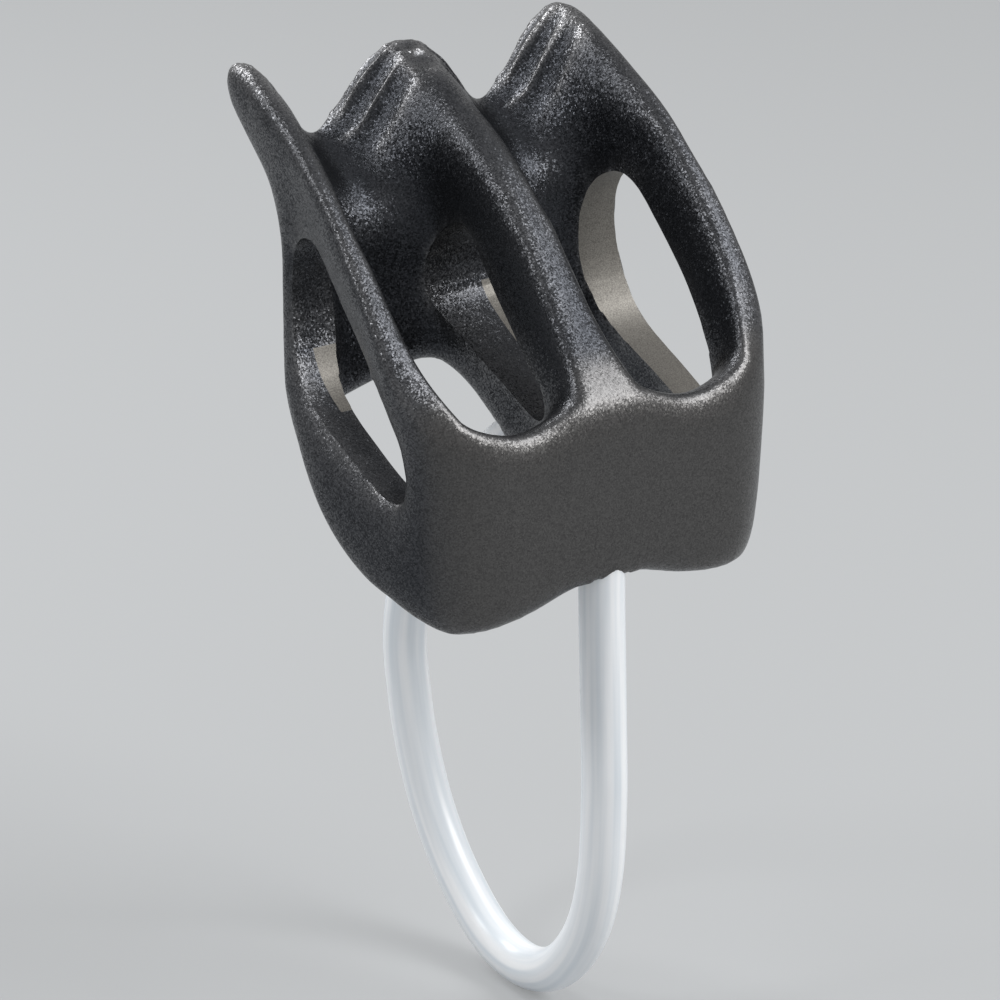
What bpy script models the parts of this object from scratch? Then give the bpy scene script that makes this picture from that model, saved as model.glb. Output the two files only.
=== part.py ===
"""Tube belay device: a hot-forged aluminium body with two rope slots, and a plastic-sleeved steel keeper loop.

Metres, +Z up. X runs across the two rope slots, Y runs from the front wall to the rear wall, and Z is the
direction in which the rope passes the slots. The sizes below are in millimetres, with Y = 0 on the front face
and Z = 0 at the foot of the front wall. They become metres in one place, where the origin also moves to the
middle of the rope slots at the height of the front lip.
"""

import bisect
import math

import bmesh
import bpy
from mathutils import Vector
from mathutils.bvhtree import BVHTree
from mathutils.geometry import interpolate_bezier

MM = 0.001

# Body, across the slots (X)
SLOT_PITCH = 23.4
WEB_HALF = 4.3
CREST_HALF = 2.7
CREST_LEAN = 1.5
OUTER_HALF = 3.8
SLOT_QUARTER = 4.0

# Body, front to back (Y) and up (Z), the side view of a web
FRONT_WALL = 7.2
REAR_WALL = 6.6
REAR_FACE = 37.4
LIP_HEIGHT = 24.6
HORN_HEIGHT = 57.6
HORN_REACH = 46.8
REAR_FOOT = 20.8
LIP_DIP = 2.6
FOOT_ARCH = 3.6
FOOT_LIFT = 2.2
NOTCH_DEPTH = 14.5
CREST_BEVEL = 0.9
CORNER_ROUND = 5.6
RIM_SLANT = 3.4
WINDOW_PROUD = 1.6
RAIL_THIN = 1.2
CREST_CREASE = 0.5
LIP_CREASE = 0.45

SUBDIVISIONS = 2
KEPT_FACETS = 0.8

# Punched windows: the punch's half length from a web's middle into the slot, and the outlines as (y, z)
PUNCH_HALF = 6.6
MIDDLE_WINDOW = [
    (25.8, 39.2),
    (28.8, 37.9),
    (30.7, 35.2),
    (31.3, 32.0),
    (30.6, 28.9),
    (28.4, 26.9),
    (25.4, 25.1),
    (22.4, 23.6),
    (19.4, 22.3),
    (16.4, 21.1),
    (13.4, 20.0),
    (11.0, 19.6),
    (9.2, 20.4),
    (8.9, 22.2),
    (10.2, 24.0),
    (12.8, 25.9),
    (15.7, 28.9),
    (19.2, 32.4),
    (22.2, 36.0),
    (23.8, 38.0),
]
OUTER_WINDOW = [
    (27.4, 40.4),
    (30.0, 39.8),
    (31.6, 38.2),
    (32.4, 36.0),
    (32.7, 33.2),
    (32.5, 30.2),
    (31.9, 27.4),
    (30.9, 25.0),
    (29.5, 22.7),
    (27.2, 20.8),
    (24.2, 19.2),
    (21.2, 17.9),
    (18.0, 16.5),
    (14.6, 15.0),
    (11.6, 14.0),
    (9.2, 14.4),
    (8.1, 16.2),
    (8.0, 18.8),
    (9.0, 21.6),
    (11.0, 24.6),
    (13.3, 27.6),
    (15.8, 30.6),
    (18.8, 33.6),
    (21.8, 36.4),
    (24.6, 39.0),
]

# Braking flutes across the rope in the notch flanks; ridges as distances in front of the horns' reach
FLUTE_RIDGES = [10.2, 6.6, 3.5, 0.6]
FLUTE_DEPTH = 0.8
FLUTE_START = 1.4
FLUTE_END = 9.6
FLUTE_FADE = 2.4
HORNS = [("left", -SLOT_PITCH, (1,)), ("middle", 0.0, (-1, 1)), ("right", SLOT_PITCH, (-1,))]

# Keeper loop: a sleeved steel cable in the body's middle plane, held in two drilled bores
CABLE_RADIUS = 1.3
SLEEVE_RADIUS = 2.7
CABLE_CLEARANCE = 0.3
FERRULE_RADIUS = 1.6
FRONT_FERRULE = 8.0
REAR_FERRULE = 4.6
FERRULE_CLEARANCE = 0.3
FERRULE_INSET = 0.4
FERRULE_CHAMFER = 0.3
SWING_GAP = 0.85
CABLE_GAP = 0.45
SLEEVE_CHAMFER = 0.5
FRONT_BORE_Y = 3.5
REAR_BORE_SHARE = 0.7
REAR_BORE_LEAN = 50.0
SEAT_DEPTH = 0.7
SEAT_CLEARANCE = 0.6
LOOP_STEP = 3.8
# Middle line of the loop between its straight ends, as (y, z), from the front leg round to the rear one
LOOP_ROUTE = [
    (3.0, -16.0),
    (2.8, -25.0),
    (3.4, -35.0),
    (5.6, -43.0),
    (9.6, -49.1),
    (14.5, -52.8),
    (20.3, -54.0),
    (26.8, -52.3),
    (33.5, -47.2),
    (38.4, -41.0),
    (41.7, -34.0),
    (43.6, -27.0),
    (44.4, -19.0),
    (42.0, -9.7),
    (35.6, -0.4),
    (28.0, 7.6),
]

ORIGIN = Vector((0.0, (FRONT_WALL + REAR_FACE - REAR_WALL) / 2, LIP_HEIGHT))


def to_metres(point):
    return (Vector(point) - ORIGIN) * MM


def to_millimetres(point):
    return point / MM + ORIGIN


def clear_scene():
    for thing in list(bpy.data.objects):
        bpy.data.objects.remove(thing, do_unlink=True)


def material(name, colour, roughness, metallic):
    made = bpy.data.materials.new(name)
    made.use_nodes = True
    shader = made.node_tree.nodes["Principled BSDF"]
    shader.inputs["Base Color"].default_value = (*colour, 1.0)
    shader.inputs["Roughness"].default_value = roughness
    shader.inputs["Metallic"].default_value = metallic
    return made


def side_profile(outer):
    """Returns the named points of a web's side view as (y, z); an outer web hangs lower than the middle one."""
    inner_face = REAR_FACE - REAR_WALL

    def along(share):
        return FRONT_WALL + share * (inner_face - FRONT_WALL)

    def over(share):
        return inner_face + share * (HORN_REACH - inner_face)

    def under_lip(share):
        return share * LIP_HEIGHT

    def above_lip(share):
        return LIP_HEIGHT + share * (HORN_HEIGHT - LIP_HEIGHT)

    points = {
        "foot_out": (0.4, 0.0),
        "foot_in": (FRONT_WALL, 0.8),
        "belly": (0.0, under_lip(0.45)),
        "sill": (FRONT_WALL, under_lip(0.52)),
        "lip_out": (0.0, LIP_HEIGHT - 2.6),
        "lip_top": (2.0, LIP_HEIGHT + 0.4),
        "lip_in": (FRONT_WALL + 0.6, LIP_HEIGHT - 2.2),
        "crest_1": (along(0.05), above_lip(0.21)),
        "crest_2": (along(0.36), above_lip(0.49)),
        "crest_3": (along(0.74), above_lip(0.74)),
        "horn_front": (over(0.2), above_lip(0.89)),
        "horn_top": (over(0.56), HORN_HEIGHT),
        "horn_back": (HORN_REACH, HORN_HEIGHT - 0.4),
        "horn_under": (over(0.85), above_lip(0.785)),
        "neck": (REAR_FACE + 0.3, above_lip(0.56)),
        "window_1": (along(0.2), above_lip(-0.01)),
        "window_2": (along(0.49), above_lip(0.185)),
        "window_3": (along(0.78), above_lip(0.385)),
        "shoulder": (inner_face - 0.4, above_lip(0.36)),
        "back_in": (inner_face + 0.2, above_lip(0.25)),
        "back_out": (REAR_FACE, above_lip(0.19)),
        "heel_up": (inner_face - 0.6, above_lip(0.1)),
        "heel_in": (inner_face - 0.4, REAR_FOOT),
        "heel_out": (REAR_FACE - 0.6, REAR_FOOT),
        "rail_up_1": (along(0.65), under_lip(1.03)),
        "rail_low_1": (along(0.65), under_lip(0.7)),
        "rail_up_2": (along(0.25), under_lip(0.82)),
        "rail_low_2": (along(0.24), under_lip(0.39)),
    }
    if outer:
        points.update({
            "window_1": (along(0.18), above_lip(0.02)),
            "window_2": (along(0.48), above_lip(0.22)),
            "window_3": (along(0.78), above_lip(0.42)),
            "shoulder": (inner_face + 1.6, above_lip(0.36)),
            "back_in": (inner_face + 1.8, above_lip(0.22)),
            "heel_up": (inner_face + 0.2, above_lip(0.0)),
            "heel_in": (inner_face - 0.4, REAR_FOOT - 4.2),
            "heel_out": (REAR_FACE - 1.0, REAR_FOOT - 2.7),
            "rail_up_1": (along(0.56), under_lip(0.82)),
            "rail_low_1": (along(0.71), under_lip(0.34)),
            "rail_up_2": (along(0.2), under_lip(0.65)),
            "rail_low_2": (along(0.27), under_lip(0.1)),
        })
    return points


FRONT_CELLS = [
    ("foot_out", "foot_in", "sill", "belly"),
    ("belly", "sill", "lip_in", "lip_top", "lip_out"),
]
REAR_CELLS = [
    ("shoulder", "horn_front", "horn_top", "horn_back", "horn_under", "neck"),
    ("shoulder", "neck", "back_out", "back_in"),
    ("back_in", "back_out", "heel_out", "heel_in", "heel_up"),
]
CREST_CELLS = [
    ("lip_top", "lip_in", "window_1", "crest_1"),
    ("crest_1", "window_1", "window_2", "crest_2"),
    ("crest_2", "window_2", "window_3", "crest_3"),
    ("crest_3", "window_3", "shoulder", "horn_front"),
]
RAIL_CELLS = [
    ("heel_up", "heel_in", "rail_low_1", "rail_up_1"),
    ("rail_up_1", "rail_low_1", "rail_low_2", "rail_up_2"),
    ("rail_up_2", "rail_low_2", "foot_in", "sill"),
]
WEB_CELLS = [
    ("sill", "lip_in", "window_1", "rail_up_2"),
    ("rail_up_2", "window_1", "window_2", "rail_up_1"),
    ("rail_up_1", "window_2", "window_3", "heel_up"),
    ("heel_up", "window_3", "shoulder", "back_in"),
]
STATIONS = [
    0.0,
    WEB_HALF,
    SLOT_PITCH / 2 - SLOT_QUARTER,
    SLOT_PITCH / 2,
    SLOT_PITCH / 2 + SLOT_QUARTER,
    SLOT_PITCH - WEB_HALF,
    SLOT_PITCH,
    SLOT_PITCH + OUTER_HALF,
]
# Fall of a notch flank from the horn's middle to the slot's middle, one share for each station up to the outer side
FLANK_STRAIGHT = [0.0, 0.34, 0.74, 1.0, 0.74, 0.34, 0.0, 0.16]
FLANK_BOWED = [0.0, 0.06, 0.24, 0.9, 0.24, 0.06, 0.0, 0.06]
# How much of the notch's depth each point of the head falls, and along which flank
HEAD_FALL = {
    "horn_front": (1.0, FLANK_STRAIGHT),
    "horn_top": (1.0, FLANK_STRAIGHT),
    "horn_back": (1.0, FLANK_BOWED),
    "horn_under": (0.69, FLANK_BOWED),
    "neck": (0.48, FLANK_STRAIGHT),
}
# Shift of an outer web's points (x inwards, y) that rounds the body's corners in plan, in shares of the
# rounding: outer side, web middle, slot side
CORNER_SHIFT = {
    "foot_out": ((0.86, 0.71), (0.61, 0.32), (0.21, 0.09)),
    "belly": ((0.77, 0.54), (0.55, 0.23), (0.18, 0.07)),
    "lip_out": ((0.66, 0.61), (0.48, 0.27), (0.18, 0.09)),
    "lip_top": ((0.43, 0.61), (0.21, 0.27), (0, 0.07)),
    "foot_in": ((0.43, 0.39), (0.18, 0.14), (0, 0)),
    "sill": ((0.46, -0.18), (0.07, 0), (0, 0)),
    "lip_in": ((0.32, 0.11), (0.04, 0.11), (0, 0)),
    "window_1": ((0.29, 0.04), (0, 0), (0, 0)),
    "rail_low_2": ((0.11, 0.11), (0.04, 0), (0, 0)),
    "rail_low_1": ((0, 0), (0, 0), (0, 0)),
    "back_out": ((0.61, -0.57), (0.39, -0.16), (0.07, 0)),
    "heel_out": ((0.5, -0.61), (0.36, -0.18), (0.11, 0)),
    "neck": ((0.82, -0.75), (0.43, -0.21), (0.07, 0)),
    "back_in": ((0.39, -0.21), (0.11, 0), (0.11, 0)),
    "heel_up": ((0.43, -0.11), (0.11, 0), (0.04, 0)),
    "heel_in": ((0.32, -0.29), (0.11, 0), (0, 0)),
    "shoulder": ((0.5, -0.21), (0.14, 0), (0.11, 0)),
    "horn_front": ((0.68, 0), (0.16, 0), (0, 0)),
    "horn_top": ((0.61, 0), (0.14, 0), (0, 0)),
    "horn_back": ((0.79, -0.11), (0.14, 0), (0, 0)),
    "horn_under": ((0.79, -0.46), (0.14, 0), (0, 0)),
    "crest_2": ((0.09, 0), (0, 0), (0, 0)),
    "crest_3": ((0.2, 0), (0.05, 0), (0, 0)),
    "window_2": ((0.29, 0), (0, 0), (0, 0)),
    "window_3": ((0.36, 0), (0, 0), (0, 0)),
    "rail_up_1": ((0.39, 0), (0, 0), (0, 0)),
    "rail_up_2": ((0.43, 0), (0, 0), (0, 0)),
}
# Drop of an outer web's window edge from its inner side to its outer side, in shares of the slant
RIM_SLOPE = {"heel_up": 1.0, "rail_up_1": 0.9, "rail_up_2": 0.8, "sill": 0.3}


def place(name, station):
    """Returns a cage vertex in metres: the side view's point `name` at X station number `station`, negative on the left."""
    column = abs(station)
    sign = -1 if station < 0 else 1
    x = STATIONS[column]
    middle = side_profile(False)[name]
    outside = side_profile(True)[name]
    share = min(max((x - WEB_HALF) / (SLOT_PITCH - 2 * WEB_HALF), 0.0), 1.0)
    y = middle[0] + (outside[0] - middle[0]) * share
    z = middle[1] + (outside[1] - middle[1]) * share
    in_slot = max(0.0, 1.0 - abs(x - SLOT_PITCH / 2) / (SLOT_PITCH / 2 - WEB_HALF))
    if name in HEAD_FALL:
        share_of_notch, flank = HEAD_FALL[name]
        z -= NOTCH_DEPTH * share_of_notch * flank[column]
    if name in ("lip_top", "lip_in", "lip_out"):
        z -= LIP_DIP * min(1.0, 1.3 * in_slot)
    if name in ("foot_out", "foot_in"):
        z += FOOT_ARCH * (0.5 + 0.5 * math.cos(math.pi * min(x / (SLOT_PITCH - 2 * SLOT_QUARTER), 1.0)))
        if column == 7:
            z += FOOT_LIFT
    if name in ("shoulder", "back_in", "heel_up") and 2 <= column <= 4:
        y += WINDOW_PROUD
    if name.startswith("crest"):
        if column == 1:
            x = CREST_HALF
            z -= CREST_BEVEL
        if column == 5:
            x = SLOT_PITCH - CREST_HALF + CREST_LEAN
            z -= CREST_BEVEL
        if column == 7:
            x = SLOT_PITCH + CREST_HALF
            z -= CREST_BEVEL
        if column == 6:
            x += CREST_LEAN / 2
    if column == 5 and name.startswith("window"):
        x += CREST_LEAN / 2
    if name.startswith("rail_up") and column == 1:
        x -= RAIL_THIN
    if name.startswith("rail_up") and column == 5:
        x += RAIL_THIN
    if column == 7 and name in RIM_SLOPE:
        z -= RIM_SLANT * RIM_SLOPE[name]
    if column >= 5 and name in CORNER_SHIFT:
        inwards, along = CORNER_SHIFT[name][7 - column]
        x -= CORNER_ROUND * inwards
        y += CORNER_ROUND * along
    return to_metres((sign * x, y, z))


CREST_LINE = ["lip_top", "crest_1", "crest_2", "crest_3", "horn_front", "horn_top"]


def body_cage():
    """Builds the forging's control cage: the side view's cells, run across the stations where each is solid."""
    last = len(STATIONS) - 1
    webs = FRONT_CELLS + REAR_CELLS + CREST_CELLS + RAIL_CELLS + WEB_CELLS
    slots = FRONT_CELLS + REAR_CELLS

    def solid(gap):
        """Returns the cells that are solid between stations gap and gap + 1."""
        low = min(abs(gap), abs(gap + 1))
        if gap < -last or gap >= last:
            return []
        return webs if low in (0, 5, 6) else slots

    mesh = bmesh.new()
    made = {}

    def vertex(name, station):
        key = (name, station)
        if key not in made:
            made[key] = mesh.verts.new(place(name, station))
        return made[key]

    for gap in range(-last, last):
        outline = set()
        for cell in solid(gap):
            outline ^= {frozenset(pair) for pair in zip(cell, cell[1:] + cell[:1])}
        for a, b in sorted(sorted(pair) for pair in outline):
            mesh.faces.new((vertex(a, gap), vertex(b, gap), vertex(b, gap + 1), vertex(a, gap + 1)))
    for station in range(-last, last + 1):
        before, after = solid(station - 1), solid(station)
        for cell in before:
            if cell not in after:
                mesh.faces.new([vertex(name, station) for name in cell])
        for cell in after:
            if cell not in before:
                mesh.faces.new([vertex(name, station) for name in reversed(cell)])
    bmesh.ops.recalc_face_normals(mesh, faces=mesh.faces)
    crease = mesh.edges.layers.float.new("crease_edge")

    def sharpen(first, second, amount):
        edge = mesh.edges.get((vertex(*first), vertex(*second)))
        if edge:
            edge[crease] = amount

    for station in (-7, -5, -1, 1, 5, 7):
        for a, b in zip(CREST_LINE, CREST_LINE[1:]):
            sharpen((a, station), (b, station), CREST_CREASE)
    for gap in range(-last, last):
        sharpen(("lip_top", gap), ("lip_top", gap + 1), LIP_CREASE)
    return mesh


def to_object(mesh, name, look):
    data = bpy.data.meshes.new(name)
    mesh.to_mesh(data)
    mesh.free()
    data.materials.append(look)
    data.shade_smooth()
    made = bpy.data.objects.new(name, data)
    bpy.context.collection.objects.link(made)
    return made


def build_body(look):
    body = to_object(body_cage(), "body", look)
    smooth = body.modifiers.new("forged_round", "SUBSURF")
    smooth.levels = SUBDIVISIONS
    smooth.render_levels = SUBDIVISIONS
    thin = body.modifiers.new("fewer_facets", "DECIMATE")
    thin.ratio = KEPT_FACETS
    return body


def seen_surface(thing):
    """Returns a function that casts a ray, in millimetres, at the object as its modifiers leave it."""
    depsgraph = bpy.context.evaluated_depsgraph_get()
    tree = BVHTree.FromObject(thing, depsgraph)

    def cast(start, direction):
        point, normal, _, _ = tree.ray_cast(to_metres(start), Vector(direction))
        return to_millimetres(point), normal
    return cast


def sweep(mesh, path, across, radii, sides):
    """Adds rings of `sides` vertices round a path that lies in the plane square to `across`; returns the rings."""
    rings = []
    for index, point in enumerate(path):
        before = path[max(index - 1, 0)]
        after = path[min(index + 1, len(path) - 1)]
        beside = (after - before).normalized().cross(across)
        ring = []
        for side in range(sides):
            angle = math.tau * side / sides
            spoke = across * math.cos(angle) + beside * math.sin(angle)
            ring.append(mesh.verts.new(to_metres(point + spoke * radii[index])))
        rings.append(ring)
    return rings


def skin(mesh, rings, closed):
    """Joins each ring to the next with quads; an open run of rings gets a face at each end."""
    following = rings[1:] + rings[:1] if closed else rings[1:]
    for ring, other in zip(rings, following):
        for side, corner in enumerate(ring):
            ahead = (side + 1) % len(ring)
            mesh.faces.new((corner, ring[ahead], other[ahead], other[side]))
    if not closed:
        mesh.faces.new(rings[0])
        mesh.faces.new(rings[-1])
    bmesh.ops.recalc_face_normals(mesh, faces=mesh.faces)


def cut(body, cutter):
    """Cuts one closed shape out of the body and leaves the cutter as a hidden guide."""
    cutter.hide_render = True
    cutter.display_type = "WIRE"
    cutter.hide_set(True)
    step = body.modifiers.new(cutter.name, "BOOLEAN")
    step.operation = "DIFFERENCE"
    step.solver = "EXACT"
    step.object = cutter


def punch(body, name, outline, centre, inner, outer, look):
    """Punches one window straight through a web, from `inner` on the slot side to `outer`, both from its middle."""
    corners = [Vector((0.0, y, z)) for y, z in outline]
    rim = []
    for index, corner in enumerate(corners):
        before, after = corners[index - 1], corners[(index + 1) % len(corners)]
        beyond = corners[(index + 2) % len(corners)]
        rim += interpolate_bezier(corner, corner + (after - before) / 6, after - (beyond - corner) / 6, after, 3)[:-1]
    mesh = bmesh.new()
    ends = [[mesh.verts.new(to_metres((centre + reach, point.y, point.z))) for point in rim] for reach in (inner, outer)]
    skin(mesh, ends, False)
    cut(body, to_object(mesh, name, look))


def punch_windows(body, look):
    punch(body, "window_middle", MIDDLE_WINDOW, 0.0, -PUNCH_HALF, PUNCH_HALF, look)
    for name, side in (("window_left", -1), ("window_right", 1)):
        punch(body, name, OUTER_WINDOW, side * SLOT_PITCH, -side * PUNCH_HALF, side * 2 * OUTER_HALF, look)


def flute_cutter(cast, middle, flanks, front, back, name, look):
    """Makes a round bar that lies in a horn's flanks and clears its crest; -1 is the left flank and 1 the right."""
    y = (front + back) / 2
    half_width = (back - front) / 2
    radius = half_width ** 2 / (2 * FLUTE_DEPTH) + FLUTE_DEPTH / 2
    steps = 7
    flank = [FLUTE_START + (FLUTE_END - FLUTE_START) * step / (steps - 1) for step in range(steps)]
    path = []
    offsets = [side * reach for side in flanks for reach in flank]
    for offset in sorted(offsets):
        reach = abs(offset)
        fade = min((reach - FLUTE_START) / FLUTE_FADE, (FLUTE_END - reach) / FLUTE_FADE, 1.0)
        depth = FLUTE_DEPTH * math.sin(fade * math.pi / 2) - 0.05
        point, normal = cast((middle + offset, y, 2 * HORN_HEIGHT), (0, 0, -1))
        normal.y = 0.0
        path.append(point + normal.normalized() * (radius - depth))
    mesh = bmesh.new()
    skin(mesh, sweep(mesh, path, Vector((0, 1, 0)), [radius] * len(path), 16), False)
    return to_object(mesh, name, look)


def cut_flutes(body, look):
    cast = seen_surface(body)
    cutters = []
    for line, (front, back) in enumerate(zip(FLUTE_RIDGES, FLUTE_RIDGES[1:])):
        for horn, middle, flanks in HORNS:
            name = f"flute_{line + 1}_{horn}"
            cutters.append(flute_cutter(cast, middle, flanks, HORN_REACH - front, HORN_REACH - back, name, look))
    for cutter in cutters:
        cut(body, cutter)


def turned(name, start, way, profile, sides, look):
    """Makes a round piece about a line of the middle plane from (distance, radius) pairs along it."""
    path = [start + way * distance for distance, _ in profile]
    mesh = bmesh.new()
    rings = []
    across = Vector((1.0, 0.0, 0.0))
    beside = way.cross(across)
    for point, (_, radius) in zip(path, profile):
        spokes = [across * math.cos(math.tau * side / sides) + beside * math.sin(math.tau * side / sides)
                  for side in range(sides)]
        rings.append([mesh.verts.new(to_metres(point + spoke * radius)) for spoke in spokes])
    skin(mesh, rings, False)
    return to_object(mesh, name, look)


def loop_exits(body):
    """Returns the seats where the cable leaves the front wall's foot and the middle web, each with its direction."""
    cast = seen_surface(body)
    down = Vector((0.0, 0.0, -1.0))
    lean = math.radians(REAR_BORE_LEAN)
    back = Vector((0.0, math.sin(lean), -math.cos(lean)))
    rail = side_profile(False)
    low = Vector((0.0, *rail["rail_low_2"]))
    high = Vector((0.0, *rail["rail_low_1"]))
    front_aim = Vector((0.0, FRONT_BORE_Y, 0.0))
    exits = []
    for aim, way in ((front_aim, down), (low.lerp(high, REAR_BORE_SHARE), back)):
        point, _ = cast(aim + way * HORN_HEIGHT, -way)
        exits.append((point - way * SEAT_DEPTH, way))
    return exits


def drill(body, seat, way, ferrule_length, side, hole_look, steel):
    """Drills and spot-faces the bore for one end of the cable and sets the cable's swaged ferrule in it."""
    depth = FERRULE_INSET + ferrule_length + FERRULE_CLEARANCE
    bore_radius = FERRULE_RADIUS + FERRULE_CLEARANCE
    seat_radius = SLEEVE_RADIUS + SEAT_CLEARANCE
    reach = 2 * seat_radius
    cut(body, turned(f"bore_{side}", seat, way,
                     [(-depth, bore_radius), (0.0, bore_radius), (0.0, seat_radius), (reach, seat_radius)],
                     24, hole_look))
    inner = -FERRULE_INSET - ferrule_length
    tip = FERRULE_RADIUS - FERRULE_CHAMFER
    turned(f"ferrule_{side}", seat, way,
           [(inner, tip), (inner + FERRULE_CHAMFER, FERRULE_RADIUS),
            (-FERRULE_INSET - FERRULE_CHAMFER, FERRULE_RADIUS), (-FERRULE_INSET, tip)],
           16, steel)


def smooth_route(corners, step):
    """Reads points about `step` apart from a smooth curve through the corners."""
    fine = []
    for index in range(len(corners) - 1):
        before = corners[max(index - 1, 0)]
        start, end = corners[index], corners[index + 1]
        after = corners[min(index + 2, len(corners) - 1)]
        leave = start + (end - before) / 6
        arrive = end - (after - start) / 6
        fine += interpolate_bezier(start, leave, arrive, end, 12)[:-1]
    fine.append(corners[-1])
    travelled = [0.0]
    for start, end in zip(fine, fine[1:]):
        travelled.append(travelled[-1] + (end - start).length)
    count = round(travelled[-1] / step)
    points = []
    for number in range(count + 1):
        goal = travelled[-1] * number / count
        index = min(max(bisect.bisect_left(travelled, goal), 1), len(fine) - 1)
        share = (goal - travelled[index - 1]) / (travelled[index] - travelled[index - 1])
        points.append(fine[index - 1].lerp(fine[index], share))
    return points


def loop_path(exits, gap):
    """Returns the loop's middle line, which starts and ends `gap` from the body and leaves it straight."""
    (front, front_way), (rear, rear_way) = exits
    lead = 2 * SLEEVE_RADIUS
    corners = [front + front_way * gap, front + front_way * (gap + lead)]
    corners += [Vector((0.0, y, z)) for y, z in LOOP_ROUTE]
    corners += [rear + rear_way * (gap + lead), rear + rear_way * gap]
    return smooth_route(corners, LOOP_STEP)


def bevelled_ends(path, radius, chamfer):
    """Adds a ring near each end of a path, so that a tube of this radius gets a chamfer there; returns the radii too."""
    first = path[0] + (path[1] - path[0]).normalized() * chamfer
    last = path[-1] + (path[-2] - path[-1]).normalized() * chamfer
    longer = [path[0], first] + path[1:-1] + [last, path[-1]]
    return longer, [radius - chamfer] + [radius] * (len(longer) - 2) + [radius - chamfer]


def build_loop(exits, plastic, steel):
    across = Vector((1.0, 0.0, 0.0))
    sleeve_path = loop_path(exits, SWING_GAP)
    route, radii = bevelled_ends(sleeve_path, SLEEVE_RADIUS, SLEEVE_CHAMFER)
    mesh = bmesh.new()
    outer = sweep(mesh, route, across, radii, 12)
    bore_radius = CABLE_RADIUS + CABLE_CLEARANCE
    inner = sweep(mesh, sleeve_path, across, [bore_radius] * len(sleeve_path), 12)
    skin(mesh, outer + inner[::-1], True)
    sleeve = to_object(mesh, "loop_sleeve", plastic)
    mesh = bmesh.new()
    cable_path = loop_path(exits, CABLE_GAP)
    skin(mesh, sweep(mesh, cable_path, across, [CABLE_RADIUS] * len(cable_path), 8), False)
    cable = to_object(mesh, "loop_cable", steel)
    swing = bpy.data.objects.new("loop_swing", None)
    bpy.context.collection.objects.link(swing)
    start, end = (to_metres(exit_point) for exit_point, _ in exits)
    swing.location = start
    swing.rotation_euler = (end - start).to_track_quat("X", "Z").to_euler()
    bpy.context.view_layer.update()
    for piece in (sleeve, cable):
        piece.parent = swing
        piece.matrix_parent_inverse = swing.matrix_world.inverted()


clear_scene()
anodised = material("anodised_aluminium", (0.045, 0.047, 0.05), 0.42, 0.9)
swaged_steel = material("swaged_steel", (0.5, 0.5, 0.48), 0.35, 1.0)
white_plastic = material("white_plastic", (0.82, 0.83, 0.85), 0.3, 0.0)
body = build_body(anodised)
punch_windows(body, anodised)
exits = loop_exits(body)
cut_flutes(body, anodised)
for (exit_point, outwards), length, side in zip(exits, (FRONT_FERRULE, REAR_FERRULE), ("front", "rear")):
    drill(body, exit_point, outwards, length, side, anodised, swaged_steel)
build_loop(exits, white_plastic, swaged_steel)
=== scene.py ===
"""Looks of a tube belay device: a bead-blasted, black anodised forging and its white keeper loop."""

import math

import bmesh
import bpy
from mathutils import Matrix, Vector, kdtree
from mathutils.geometry import interpolate_bezier


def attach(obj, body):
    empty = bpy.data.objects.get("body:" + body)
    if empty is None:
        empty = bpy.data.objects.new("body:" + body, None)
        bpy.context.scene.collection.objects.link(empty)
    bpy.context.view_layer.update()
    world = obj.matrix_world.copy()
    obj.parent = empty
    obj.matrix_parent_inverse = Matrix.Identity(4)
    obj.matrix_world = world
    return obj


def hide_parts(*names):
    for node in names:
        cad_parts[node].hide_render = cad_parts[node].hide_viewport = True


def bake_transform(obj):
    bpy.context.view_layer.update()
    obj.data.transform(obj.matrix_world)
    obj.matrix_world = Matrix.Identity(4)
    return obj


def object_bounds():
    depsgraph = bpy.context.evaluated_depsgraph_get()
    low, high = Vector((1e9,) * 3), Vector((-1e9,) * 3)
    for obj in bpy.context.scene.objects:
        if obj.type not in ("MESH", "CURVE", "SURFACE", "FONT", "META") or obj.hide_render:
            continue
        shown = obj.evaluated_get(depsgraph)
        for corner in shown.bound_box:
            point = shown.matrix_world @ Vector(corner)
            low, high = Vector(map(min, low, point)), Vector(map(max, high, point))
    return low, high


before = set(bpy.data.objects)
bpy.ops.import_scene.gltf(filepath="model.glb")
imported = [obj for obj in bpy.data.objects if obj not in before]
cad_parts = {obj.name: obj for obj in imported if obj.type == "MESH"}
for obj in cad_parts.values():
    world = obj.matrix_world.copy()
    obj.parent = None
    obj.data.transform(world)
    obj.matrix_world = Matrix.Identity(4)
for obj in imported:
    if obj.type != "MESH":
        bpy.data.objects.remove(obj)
cad_low, cad_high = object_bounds()
MM = 0.001


# The camera: a product photographer's long lens, from the front left and a little above. The target is the
# middle of the rope slots, and the shift only places it in the picture as the photograph does.
AZIMUTH = math.radians(-35)
ELEVATION = math.radians(21)
CAMERA_DISTANCE = 560 * MM
NEAREST_SEEN = 10 * MM
TARGET = Vector((0, -1.0, -9.6)) * MM
SENSOR_WIDTH = 36
FOCAL_IN_WIDTHS = 4.85
FRAME_PIXELS = 1000
TARGET_PIXEL = (529, 433)
ahead = Vector((
    -math.sin(AZIMUTH) * math.cos(ELEVATION),
    math.cos(AZIMUTH) * math.cos(ELEVATION),
    -math.sin(ELEVATION),
))
lens = bpy.data.cameras.new("product_lens")
lens.sensor_width = SENSOR_WIDTH
lens.lens = SENSOR_WIDTH * FOCAL_IN_WIDTHS
lens.clip_start = NEAREST_SEEN
lens.shift_x = (FRAME_PIXELS / 2 - TARGET_PIXEL[0]) / FRAME_PIXELS
lens.shift_y = (TARGET_PIXEL[1] - FRAME_PIXELS / 2) / FRAME_PIXELS
camera = bpy.data.objects.new("camera", lens)
camera.location = TARGET - ahead * CAMERA_DISTANCE
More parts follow.
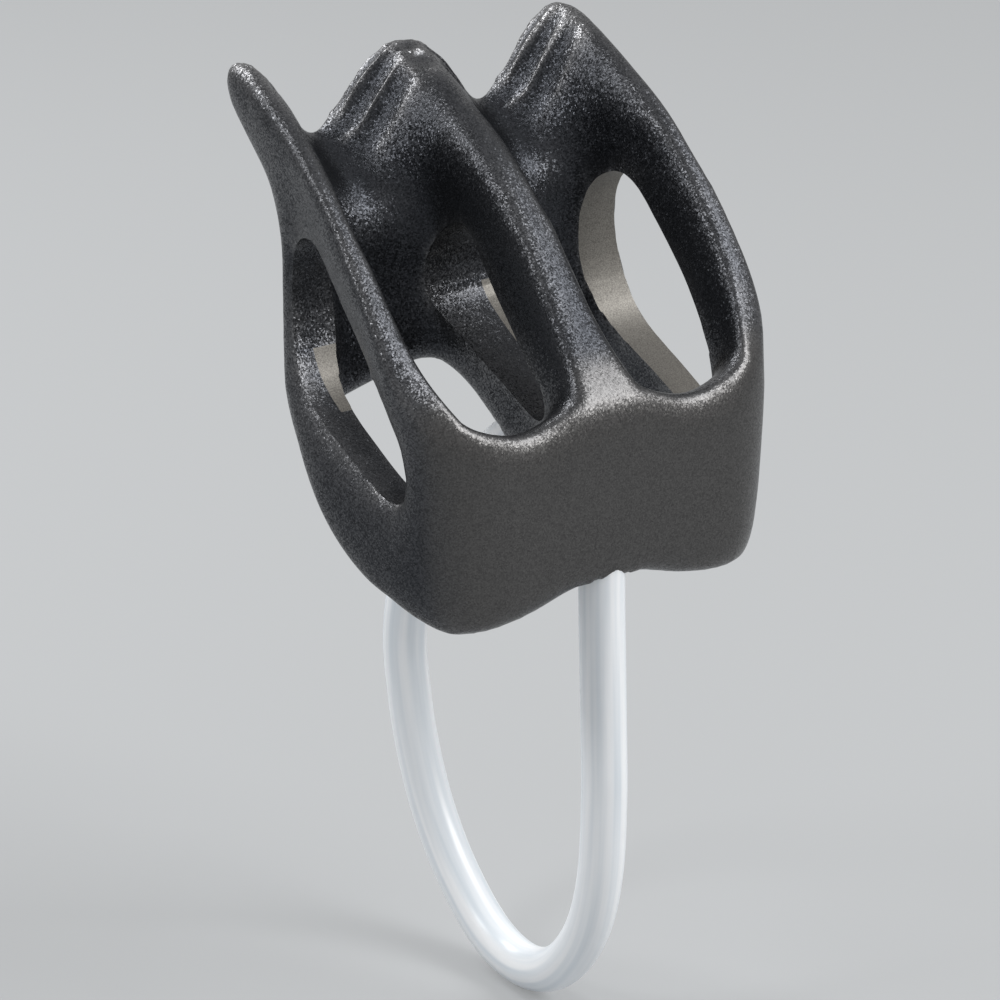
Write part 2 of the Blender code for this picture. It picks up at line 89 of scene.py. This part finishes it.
camera.rotation_euler = ahead.to_track_quat("-Z", "Y").to_euler()
bpy.context.collection.objects.link(camera)
bpy.context.scene.camera = camera
bpy.context.scene.view_settings.view_transform = "Standard"


# The forging: hot-forged aluminium, trimmed, punched and drilled, then bead-blasted and anodised black. Its
# skin is full of tiny facets that catch the light one by one, so crests sparkle and the front wall looks matt.
# The crests' lighter tone is partly wear and partly painted highlight, and the front wall's lighter tone is
# painted light. The punched window walls missed most of the blasting, so they are a fine grey; their lighter
# warm grey is painted only where light falls on them, so it is partly their finish and partly painted light.

def linear(colour):
    """Turns an sRGB hex colour into linear red, green, blue and alpha."""
    channels = [int(colour[start:start + 2], 16) / 255 for start in (1, 3, 5)]
    return [
        channel / 12.92 if channel <= 0.04045 else ((channel + 0.055) / 1.055) ** 2.4
        for channel in channels
    ] + [1.0]


def add_node(holder, kind, inputs, **settings):
    """Adds a node to a material or a world, sets it, and fills its sockets with values or with links."""
    node = holder.node_tree.nodes.new(kind)
    for name, value in settings.items():
        setattr(node, name, value)
    for name, value in inputs.items():
        if isinstance(value, bpy.types.NodeSocket):
            holder.node_tree.links.new(value, node.inputs[name])
        else:
            node.inputs[name].default_value = value
    return node


def new_material(name):
    """Makes a material whose nodes are all still to come."""
    material = bpy.data.materials.new(name)
    material.use_nodes = True
    material.node_tree.nodes.clear()
    return material


def link_mesh(mesh, name):
    """Turns a bmesh into a linked object with smooth shading."""
    data = bpy.data.meshes.new(name)
    mesh.to_mesh(data)
    mesh.free()
    made = bpy.data.objects.new(name, data)
    bpy.context.collection.objects.link(made)
    data.shade_smooth()
    return made


def ramp(value, start, end):
    """Runs from 0 at the start to 1 at the end, and stays level beyond; the end may lie below the start."""
    return max(0.0, min(1.0, (value - start) / (end - start)))


def has_both_finishes(edge_or_vertex):
    return len({face.material_index for face in edge_or_vertex.link_faces}) == 2


# The blasted skin. A real facet is about 0.1 mm wide, too fine to show, so the grain is drawn coarser. Each
# facet tilts its own way, less on the front wall, over shallow dimples. The crests get a lighter tone, partly
# worn dye and partly painted highlight, and the front wall a plainer, lighter tone whose lightness is painted
# light. A colour Mix node takes its two colours in sockets 6 and 7.
GRAIN = 0.16 * MM
DIMPLE = 0.45 * MM
DIMPLE_DEPTH = 0.05 * MM
GRIT_DEPTH = 0.04 * MM
anodised = new_material("black_anodised_blasted_aluminium")
spot = add_node(anodised, "ShaderNodeTexCoord", {}).outputs["Object"]
on_crest = add_node(anodised, "ShaderNodeAttribute", {}, attribute_name="crest").outputs["Fac"]
on_front = add_node(anodised, "ShaderNodeAttribute", {}, attribute_name="matt").outputs["Fac"]
facets = add_node(anodised, "ShaderNodeTexVoronoi", {"Vector": spot, "Scale": 1 / GRAIN}).outputs["Color"]
tilt = add_node(anodised, "ShaderNodeVectorMath", {0: facets, 1: (0.5, 0.5, 0.5)}, operation="SUBTRACT")
steepness = add_node(anodised, "ShaderNodeMapRange", {"Value": on_front, "To Min": 0.42, "To Max": 0.16})
tilt = add_node(anodised, "ShaderNodeVectorMath", {
    0: tilt.outputs[0],
    "Scale": steepness.outputs[0],
}, operation="SCALE")
dimples = add_node(anodised, "ShaderNodeTexNoise", {"Vector": spot, "Scale": 1 / DIMPLE, "Detail": 3.0})
relief = add_node(anodised, "ShaderNodeBump", {
    "Height": dimples.outputs[0],
    "Strength": 0.5,
    "Distance": DIMPLE_DEPTH,
})
leaning = add_node(anodised, "ShaderNodeVectorMath", {
    0: relief.outputs[0],
    1: tilt.outputs[0],
}, operation="ADD")
leaning = add_node(anodised, "ShaderNodeVectorMath", {0: leaning.outputs[0]}, operation="NORMALIZE")
tones = []
for darkest, lightest in (("#212326", "#43454a"), ("#4c4c4e", "#969697"), ("#494848", "#656463")):
    tone = add_node(anodised, "ShaderNodeValToRGB", {"Fac": facets})
    tone.color_ramp.elements[0].color = linear(darkest)
    tone.color_ramp.elements[1].color = linear(lightest)
    tones.append(tone.outputs[0])
dyed, worn_and_highlit, front_painted_light = tones
# Painted highlight, partly wear: the crests' lighter tone. Painted light: the front wall's lighter tone.
coat = add_node(anodised, "ShaderNodeMix", {0: on_crest, 6: dyed, 7: worn_and_highlit}, data_type="RGBA")
coat = add_node(anodised, "ShaderNodeMix", {0: on_front, 6: coat.outputs[2], 7: front_painted_light}, data_type="RGBA")
skin = add_node(anodised, "ShaderNodeBsdfPrincipled", {
    "Base Color": coat.outputs[2],
    "Metallic": 0.9,
    "Roughness": 0.33,
    "Normal": leaning.outputs[0],
})
add_node(anodised, "ShaderNodeOutputMaterial", {"Surface": skin.outputs[0]})

# The punched walls: a dull, warm grey with a fine grit, lighter than the skin; the lighter grey is painted
# light.
punched_and_lit = new_material("punched_aluminium_wall_with_painted_light")
spot = add_node(punched_and_lit, "ShaderNodeTexCoord", {}).outputs["Object"]
grit = add_node(punched_and_lit, "ShaderNodeTexNoise", {"Vector": spot, "Scale": 1 / GRAIN, "Detail": 2.0})
lit_warm_grey = add_node(punched_and_lit, "ShaderNodeValToRGB", {"Fac": grit.outputs[0]})
lit_warm_grey.color_ramp.elements[0].position = 0.3
lit_warm_grey.color_ramp.elements[0].color = linear("#5e5b57")
lit_warm_grey.color_ramp.elements[1].position = 0.7
lit_warm_grey.color_ramp.elements[1].color = linear("#827f79")
relief = add_node(punched_and_lit, "ShaderNodeBump", {
    "Height": grit.outputs[0],
    "Strength": 0.3,
    "Distance": GRIT_DEPTH,
})
wall = add_node(punched_and_lit, "ShaderNodeBsdfPrincipled", {
    "Base Color": lit_warm_grey.outputs[0],
    "Metallic": 0.7,
    "Roughness": 0.5,
    "Normal": relief.outputs[0],
})
add_node(punched_and_lit, "ShaderNodeOutputMaterial", {"Surface": wall.outputs[0]})

# The mesh starts from the machined solid. Its window walls stand square to the webs, and they are found by
# that, between the windows' lowest and highest corners.
WELD = 0.001 * MM
FLAT_PAIR = math.radians(20)
SQUARE_PAIR = math.radians(50)
WALL_TILT = 0.004
WINDOW_LOW = Vector((0, -11.2, -10.8)) * MM
WINDOW_HIGH = Vector((0, 13.9, 16.0)) * MM
MIDDLE_WEB = 4.6 * MM
OUTER_WEB = 18.4 * MM
ANODISED_SLOT = 0
PUNCHED_SLOT = 1
mesh = bmesh.new()
mesh.from_mesh(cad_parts["body"].data)
bmesh.ops.remove_doubles(mesh, verts=mesh.verts, dist=WELD)
bmesh.ops.join_triangles(
    mesh,
    faces=mesh.faces,
    angle_face_threshold=FLAT_PAIR,
    angle_shape_threshold=SQUARE_PAIR,
)
mesh.normal_update()
for face in mesh.faces:
    middle = face.calc_center_median()
    in_window = all(WINDOW_LOW[axis] < middle[axis] < WINDOW_HIGH[axis] for axis in (1, 2))
    in_web = abs(middle.x) < MIDDLE_WEB or abs(middle.x) > OUTER_WEB
    square_to_web = abs(face.normal.x) < WALL_TILT
    face.material_index = PUNCHED_SLOT if in_window and in_web and square_to_web else ANODISED_SLOT

# The lighter wall grey is kept only in places where light falls on the walls, so it is partly punched finish
# and partly painted light; the places end in clean lines: an axis, and where the line meets it.
LIT_BARE_LINES = [
    (0, -20.9 * MM),
    (0, 2.2 * MM),
    (2, -4.8 * MM),
    (2, 1.2 * MM),
    (2, -1.5 * MM),
    (2, 5.0 * MM),
]
for axis, place in LIT_BARE_LINES:
    walls = [face for face in mesh.faces if face.material_index == PUNCHED_SLOT]
    around = walls + [part for face in walls for part in (*face.edges, *face.verts)]
    square = Vector([float(way == axis) for way in range(3)])
    bmesh.ops.bisect_plane(
        mesh,
        geom=list(dict.fromkeys(around)),
        dist=WELD,
        plane_co=square * place,
        plane_no=square,
    )

# The die rolled the outer windows' outer rims inwards.
ROLL_FROM = 23.4 * MM
ROLL_WIDTH = 3.0 * MM
ROLL_DEPTH = 1.4 * MM
for side in (-1, 1):
    outer_side = [vertex for vertex in mesh.verts if vertex.co.x * side > ROLL_FROM]
    rim = [vertex for vertex in outer_side if has_both_finishes(vertex)]
    rim_tree = kdtree.KDTree(len(rim))
    for index, vertex in enumerate(rim):
        rim_tree.insert((0, vertex.co.y, vertex.co.z), index)
    rim_tree.balance()
    for vertex in outer_side:
        away = rim_tree.find((0, vertex.co.y, vertex.co.z))[2]
        if away < ROLL_WIDTH:
            vertex.co.x -= side * ROLL_DEPTH * (1 - away / ROLL_WIDTH) ** 2

# The windows' rims and the bare places' ends stay sharp, and the forging's own edges nearly half as sharp. A
# rim that the facets left ragged is levelled along the web's thickness.
SHARP_ANGLE = math.radians(50)
SHARP_CREASE = 1.0
FORGED_CREASE = 0.4
RIM_ROUNDS = 10
crease = mesh.edges.layers.float.new("crease_edge")
rim_partners = {}
for edge in mesh.edges:
    on_rim = has_both_finishes(edge)
    in_wall = all(face.material_index == PUNCHED_SLOT for face in edge.link_faces)
    on_line = any(
        all(abs(vertex.co[axis] - place) < WELD for vertex in edge.verts)
        for axis, place in LIT_BARE_LINES
    )
    if on_rim or (in_wall and on_line):
        edge[crease] = SHARP_CREASE
        edge.smooth = False
    elif edge.calc_face_angle(0.0) > SHARP_ANGLE:
        edge[crease] = FORGED_CREASE
    if on_rim:
        for vertex in edge.verts:
            rim_partners.setdefault(vertex, []).append(edge.other_vert(vertex))
for _ in range(RIM_ROUNDS):
    levelled = {
        vertex: sum(partner.co.x for partner in partners) / len(partners)
        for vertex, partners in rim_partners.items()
    }
    for vertex, x in levelled.items():
        vertex.co.x = (vertex.co.x + x) / 2

# The walls outside the lit places go back to the blasted skin; inside them the lighter grey is painted light.
# A place is its lowest and highest X, then Z.
LIT_BARE_PLACES = [
    (-21.0 * MM, -16.0 * MM, -4.8 * MM, 1.2 * MM),
    (2.2 * MM, 6.0 * MM, -1.5 * MM, 5.0 * MM),
    (16.0 * MM, 30.0 * MM, -30.0 * MM, 30.0 * MM),
]
for face in mesh.faces:
    middle = face.calc_center_median()
    lit_and_bare = any(
        left < middle.x < right and low < middle.z < high
        for left, right, low, high in LIT_BARE_PLACES
    )
    if not lit_and_bare:
        face.material_index = ANODISED_SLOT
forging = link_mesh(mesh, "forging")
forging.data.materials.append(anodised)
forging.data.materials.append(punched_and_lit)
rounding = forging.modifiers.new("rounding", "SUBSURF")
rounding.levels = 1
rounding.render_levels = 1
depsgraph = bpy.context.evaluated_depsgraph_get()
forging.data = bpy.data.meshes.new_from_object(forging.evaluated_get(depsgraph))
forging.modifiers.clear()

# The solid's facets are smoothed away, most on the horns. The outer horns' tips are a little fuller, and the
# front wall's foot hangs lower, most so over the loop's seat.
SMOOTH_ROUNDS = 6
HORN_ROUNDS = 8
HORN_FOOT = 16.5 * MM
TIP_SWELL = 0.8 * MM
TIP_START = 20 * MM
TIP_END = 28 * MM
OUTER_HORN_START = 15 * MM
OUTER_HORN_END = 22 * MM
FOOT_DROP = 1.7 * MM
FOOT_BACK = -8 * MM
FOOT_FRONT = -15 * MM
FOOT_TOP = -12 * MM
FOOT_BOTTOM = -19 * MM
SEAT_DROP = 0.9 * MM
SEAT_WIDTH = 4.5 * MM
mesh = bmesh.new()
mesh.from_mesh(forging.data)
crest = mesh.verts.layers.float.new("crest")
matt = mesh.verts.layers.float.new("matt")
soft = [vertex for vertex in mesh.verts if all(edge.smooth for edge in vertex.link_edges)]
horns = [vertex for vertex in soft if vertex.co.z > HORN_FOOT]
for verts in [soft] * SMOOTH_ROUNDS + [horns] * HORN_ROUNDS:
    bmesh.ops.smooth_vert(mesh, verts=verts, factor=0.5, use_axis_x=True, use_axis_y=True, use_axis_z=True)
mesh.normal_update()
for vertex in mesh.verts:
    on_tip = ramp(vertex.co.z, TIP_START, TIP_END)
    on_outer_horn = ramp(abs(vertex.co.x), OUTER_HORN_START, OUTER_HORN_END)
    vertex.co += vertex.normal * TIP_SWELL * on_tip * on_outer_horn
for vertex in mesh.verts:
    forward = ramp(vertex.co.y, FOOT_BACK, FOOT_FRONT)
    low = ramp(vertex.co.z, FOOT_TOP, FOOT_BOTTOM)
    at_seat = ramp(abs(vertex.co.x), SEAT_WIDTH, 0)
    vertex.co.z -= (FOOT_DROP + SEAT_DROP * at_seat) * forward * low
mesh.normal_update()

# Two attributes for the skin: how sharply the surface bulges, spread a little, which lays on the crests' wear
# and painted highlight, and where the front wall is, which lays on its matt grain and its painted light.
CREST_RADIUS = 1.6 * MM
CREST_ROUNDS = 5
CREST_KEPT = 0.4
FRONT_FACE = -13 * MM
FRONT_FACE_FULL = -15 * MM
FACING_START = 0.3
FACING_FULL = 0.9
for vertex in mesh.verts:
    bends = [edge.calc_face_angle_signed(0.0) / edge.calc_length() for edge in vertex.link_edges]
    vertex[crest] = ramp(sum(bends) / len(bends), 0, 1 / CREST_RADIUS)
    facing = ramp(-vertex.normal.y, FACING_START, FACING_FULL)
    vertex[matt] = facing * ramp(vertex.co.y, FRONT_FACE, FRONT_FACE_FULL)
for _ in range(CREST_ROUNDS):
    spread = [
        sum(edge.other_vert(vertex)[crest] for edge in vertex.link_edges) / len(vertex.link_edges)
        for vertex in mesh.verts
    ]
    for vertex, value in zip(mesh.verts, spread):
        vertex[crest] = CREST_KEPT * vertex[crest] + (1 - CREST_KEPT) * value
mesh.to_mesh(forging.data)
mesh.free()
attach(forging, "device_body")
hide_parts("body")


# The keeper loop's sleeve: extruded white plastic tube, slightly translucent and glossy, drawn over the cable.
# Its ends bear on the seats under the front wall and the middle web. The route's points are (y, z) in mm from
# the foot of the front wall, as the forging was drawn.
SLEEVE_RADIUS = 2.7 * MM
SLEEVE_SIDES = 40
GLOW_DEPTH = 1.2 * MM
HALF_TURNS_PER_METRE = 3.5
SEAT_GRIP = 0.15 * MM
STRETCH_STEPS = 12
FRONT_SEAT = Vector((0, -15.5, -19.803)) * MM
REAR_SEAT = Vector((0, 0.208, -9.307)) * MM
REAR_LEAN = math.radians(50)
DRAWING_ORIGIN = Vector((0, 19.0, 24.6)) * MM
ROUTE = [
    (3.0, -16.0),
    (2.8, -25.0),
    (3.4, -35.0),
    (5.6, -43.0),
    (9.6, -49.1),
    (14.5, -52.8),
    (20.3, -54.0),
    (26.8, -52.3),
    (33.5, -47.2),
    (38.4, -41.0),
    (41.7, -34.0),
    (43.6, -27.0),
    (44.4, -19.0),
    (42.0, -9.7),
    (35.6, -0.4),
    (28.0, 7.6),
]
down = Vector((0, 0, -1))
back = Vector((0, math.sin(REAR_LEAN), -math.cos(REAR_LEAN)))
lead = 2 * SLEEVE_RADIUS
corners = [FRONT_SEAT - down * SEAT_GRIP, FRONT_SEAT + down * lead]
corners += [Vector((0, y, z)) * MM - DRAWING_ORIGIN for y, z in ROUTE]
corners += [REAR_SEAT + back * lead, REAR_SEAT - back * SEAT_GRIP]

# One smooth curve through the corners: at each, its handles lie along the line between the two neighbours.
route = []
for index, (corner, following) in enumerate(zip(corners, corners[1:])):
    before = corners[max(index - 1, 0)]
    after = corners[min(index + 2, len(corners) - 1)]
    leave = corner + (following - before) / 6
    arrive = following - (after - corner) / 6
    route += interpolate_bezier(corner, leave, arrive, following, STRETCH_STEPS + 1)[:-1]
route.append(corners[-1])

# The tube is a circle drawn along the curve. It keeps its place round and along itself for the streaks.
mesh = bmesh.new()
turn = mesh.verts.layers.float.new("turn")
run = mesh.verts.layers.float.new("run")
ring = bmesh.ops.create_circle(mesh, cap_ends=True, radius=SLEEVE_RADIUS, segments=SLEEVE_SIDES)["verts"]
for number, vertex in enumerate(ring):
    vertex[turn] = abs(2 * number / SLEEVE_SIDES - 1)
edges = list(dict.fromkeys(edge for vertex in ring for edge in vertex.link_edges))
last = Matrix.Identity(4)
travelled = 0.0
for index, point in enumerate(route):
    way = (route[min(index + 1, len(route) - 1)] - route[max(index - 1, 0)]).normalized()
    place = Matrix.Translation(point) @ Vector((0, 0, 1)).rotation_difference(way).to_matrix().to_4x4()
    if index:
        travelled += (point - route[index - 1]).length
        grown = bmesh.ops.extrude_edge_only(mesh, edges=edges)["geom"]
        ring = [item for item in grown if isinstance(item, bmesh.types.BMVert)]
        edges = [item for item in grown if isinstance(item, bmesh.types.BMEdge)]
    for vertex in ring:
        vertex.co = place @ (last.inverted() @ vertex.co)
        vertex[run] = travelled
    last = place
bmesh.ops.contextual_create(mesh, geom=edges)
bmesh.ops.recalc_face_normals(mesh, faces=mesh.faces)
sleeve = link_mesh(mesh, "sleeve_tube")

# Extrusion leaves long faint streaks in the plastic, so the pattern follows the tube: a metre along it counts
# as only a few half turns round it.
plastic = new_material("white_translucent_sleeve_plastic")
streak_turn = add_node(plastic, "ShaderNodeAttribute", {}, attribute_name="turn").outputs["Fac"]
streak_run = add_node(plastic, "ShaderNodeAttribute", {}, attribute_name="run").outputs["Fac"]
along = add_node(plastic, "ShaderNodeMath", {0: streak_run, 1: HALF_TURNS_PER_METRE}, operation="MULTIPLY")
streak_at = add_node(plastic, "ShaderNodeCombineXYZ", {"X": streak_turn, "Y": along.outputs[0]})
streaks = add_node(plastic, "ShaderNodeTexNoise", {
    "Vector": streak_at.outputs[0],
    "Scale": 6.0,
    "Detail": 2.0,
})
milky = add_node(plastic, "ShaderNodeValToRGB", {"Fac": streaks.outputs[0]})
milky.color_ramp.elements[0].position = 0.3
milky.color_ramp.elements[0].color = linear("#d3dae0")
milky.color_ramp.elements[1].position = 0.62
milky.color_ramp.elements[1].color = linear("#eef0f2")
tube = add_node(plastic, "ShaderNodeBsdfPrincipled", {
    "Base Color": milky.outputs[0],
    "Roughness": 0.3,
    "IOR": 1.5,
    "Subsurface Weight": 0.5,
    "Subsurface Radius": (1.0, 1.0, 1.0),
    "Subsurface Scale": GLOW_DEPTH,
})
add_node(plastic, "ShaderNodeOutputMaterial", {"Surface": tube.outputs[0]})
sleeve.data.materials.append(plastic)
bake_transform(sleeve)
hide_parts("loop_sleeve")


# The cable and its swaged ends: galvanised steel strand, gripped in steel ferrules inside the two bores. The
# sleeve and the forging hide nearly all of them, so they keep their solids and get a galvanised finish.
WIRE = 0.4 * MM
steel = new_material("galvanised_steel_strand")
spot = add_node(steel, "ShaderNodeTexCoord", {}).outputs["Object"]
wires = add_node(steel, "ShaderNodeTexNoise", {"Vector": spot, "Scale": 1 / WIRE, "Detail": 2.0})
zinc = add_node(steel, "ShaderNodeValToRGB", {"Fac": wires.outputs[0]})
zinc.color_ramp.elements[0].color = linear("#8c8f92")
zinc.color_ramp.elements[1].color = linear("#b9bbbd")
strand = add_node(steel, "ShaderNodeBsdfPrincipled", {
    "Base Color": zinc.outputs[0],
    "Metallic": 1.0,
    "Roughness": 0.35,
})
add_node(steel, "ShaderNodeOutputMaterial", {"Surface": strand.outputs[0]})
for name in ("loop_cable", "ferrule_front", "ferrule_rear"):
    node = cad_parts[name]
    node.data.materials.clear()
    node.data.materials.append(steel)


# The studio: a plain pale grey floor and surround, which also show in the metal. One large softbox from the
# front right lights the front wall, one from above and behind the crests, and a small one the left side.

def seen_rays(holder):
    """Returns a socket that is 1 for rays from the camera and for those that metal and glass pass on."""
    ray = add_node(holder, "ShaderNodeLightPath", {})
    seen = add_node(holder, "ShaderNodeMath", {
        0: ray.outputs["Is Camera Ray"],
        1: ray.outputs["Is Glossy Ray"],
    }, operation="ADD")
    seen = add_node(holder, "ShaderNodeMath", {
        0: seen.outputs[0],
        1: ray.outputs["Is Transmission Ray"],
    }, operation="ADD", use_clamp=True)
    return seen.outputs[0]


FLOOR_HALF = 3.0
FLOOR_GAP = 0.3 * MM
BACKDROP_SHARE = 0.45
floor_mesh = bmesh.new()
bmesh.ops.create_grid(floor_mesh, x_segments=1, y_segments=1, size=FLOOR_HALF)
bmesh.ops.translate(floor_mesh, verts=floor_mesh.verts, vec=(0, 0, cad_low.z - FLOOR_GAP))
floor = link_mesh(floor_mesh, "floor")
paper = new_material("pale_grey_paper")
sheet = add_node(paper, "ShaderNodeBsdfPrincipled", {"Base Color": linear("#b0b2b4"), "Roughness": 0.9})
backdrop = add_node(paper, "ShaderNodeEmission", {"Color": linear("#c0c2c3")})
share = add_node(paper, "ShaderNodeMath", {0: seen_rays(paper), 1: BACKDROP_SHARE}, operation="MULTIPLY")
lit = add_node(paper, "ShaderNodeMixShader", {
    0: share.outputs[0],
    1: sheet.outputs[0],
    2: backdrop.outputs[0],
})
add_node(paper, "ShaderNodeOutputMaterial", {"Surface": lit.outputs[0]})
floor.data.materials.append(paper)

world = bpy.data.worlds.new("studio")
world.use_nodes = True
world.node_tree.nodes.clear()
bpy.context.scene.world = world
level = add_node(world, "ShaderNodeMapRange", {"Value": seen_rays(world), "To Min": 0.5, "To Max": 0.55})
surround = add_node(world, "ShaderNodeBackground", {
    "Color": linear("#ffffff"),
    "Strength": level.outputs[0],
})
add_node(world, "ShaderNodeOutputWorld", {"Surface": surround.outputs[0]})

# Each softbox has its place and width in metres, and its power in watts.
for name, place, width, power in (
    ("key_softbox", (0.34, -0.36, 0.44), 0.36, 3.5),
    ("rear_softbox", (-0.12, 0.46, 0.36), 0.22, 1.8),
    ("left_softbox", (-0.45, 0.11, 0.40), 0.16, 0.9),
):
    lamp = bpy.data.lights.new(name, "AREA")
    lamp.energy = power
    lamp.size = width
    holder = bpy.data.objects.new(name, lamp)
    holder.location = place
    holder.rotation_euler = (TARGET - holder.location).to_track_quat("-Z", "Y").to_euler()
    bpy.context.collection.objects.link(holder)
